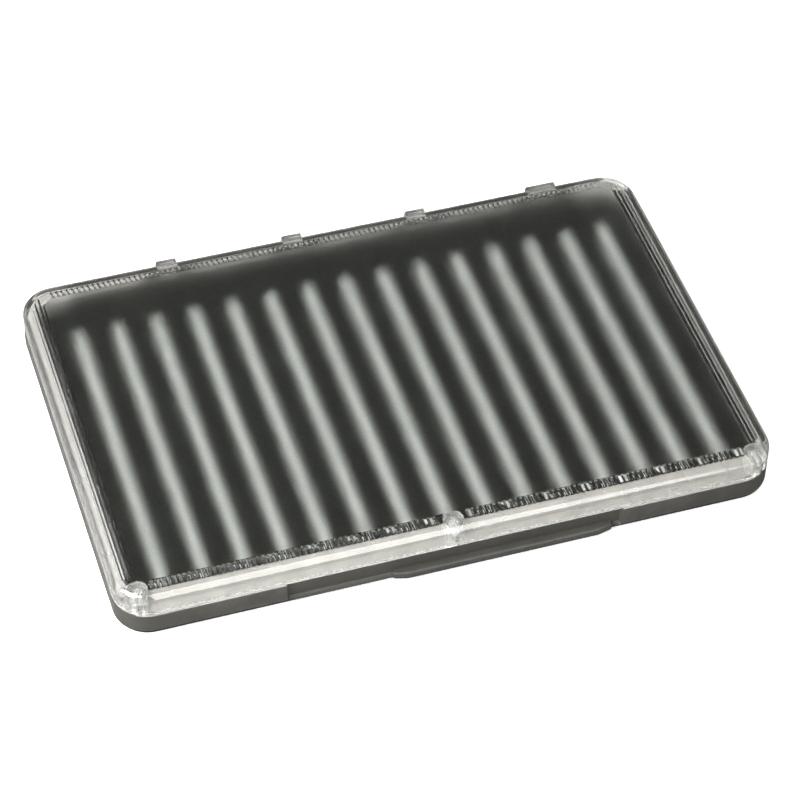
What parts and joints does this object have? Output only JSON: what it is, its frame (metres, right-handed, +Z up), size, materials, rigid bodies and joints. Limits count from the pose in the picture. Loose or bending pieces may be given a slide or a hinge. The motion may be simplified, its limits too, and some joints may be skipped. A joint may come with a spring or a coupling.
{
  "type": "fly box",
  "caption": "Slim hinged pocket case for fishing flies: clear frosted lid with ribbed border over a grey tray that holds a slotted foam pad, kept shut by magnets.",
  "frame": {"origin": "centre of the flat underside of the base, lid closed", "axes": "+X along the long side (hinge direction), +Y towards the hinge at the back, +Z up out of the lid"},
  "size_m": [0.186, 0.1289, 0.0155],
  "materials": {
    "grey_base": "satin moulded, fine spark-eroded grain",
    "clear_lid": "clear polycarbonate, polished border and walls, finely frosted top panel",
    "pin_steel": "drawn stainless rod",
    "magnet_nickel": "bright nickel plating",
    "adhesive": "thin double-sided foam tape",
    "dark_foam": "closed-cell foam, cut top face",
    "light_foam": "closed-cell foam strip with ripple-cut edge"
  },
  "bodies": {
    "base": {"base_tray": "grey_base", "hinge_pin": "pin_steel", "base_magnet_left": "magnet_nickel", "base_magnet_centre": "magnet_nickel", "base_magnet_right": "magnet_nickel", "foam_adhesive_sheet": "adhesive", "foam_pad": "dark_foam", "ripple_strip_01": "light_foam", "ripple_strip_02": "light_foam", "ripple_strip_03": "light_foam", "ripple_strip_04": "light_foam", "ripple_strip_05": "light_foam", "ripple_strip_06": "light_foam", "ripple_strip_07": "light_foam", "ripple_strip_08": "light_foam", "ripple_strip_09": "light_foam", "ripple_strip_10": "light_foam", "ripple_strip_11": "light_foam", "ripple_strip_12": "light_foam", "ripple_strip_13": "light_foam", "ripple_strip_14": "light_foam", "ripple_strip_15": "light_foam"},
    "lid": {"lid_shell": "clear_lid", "lid_magnet_left": "magnet_nickel", "lid_magnet_centre": "magnet_nickel", "lid_magnet_right": "magnet_nickel"}
  },
  "joints": [
    {"name": "lid_hinge", "type": "hinge", "parent": "base", "child": "lid", "pos_m": [0, 0.06415, 0.00775], "axis": [-1, 0, 0], "range_deg": [0, 180]}
  ]
}
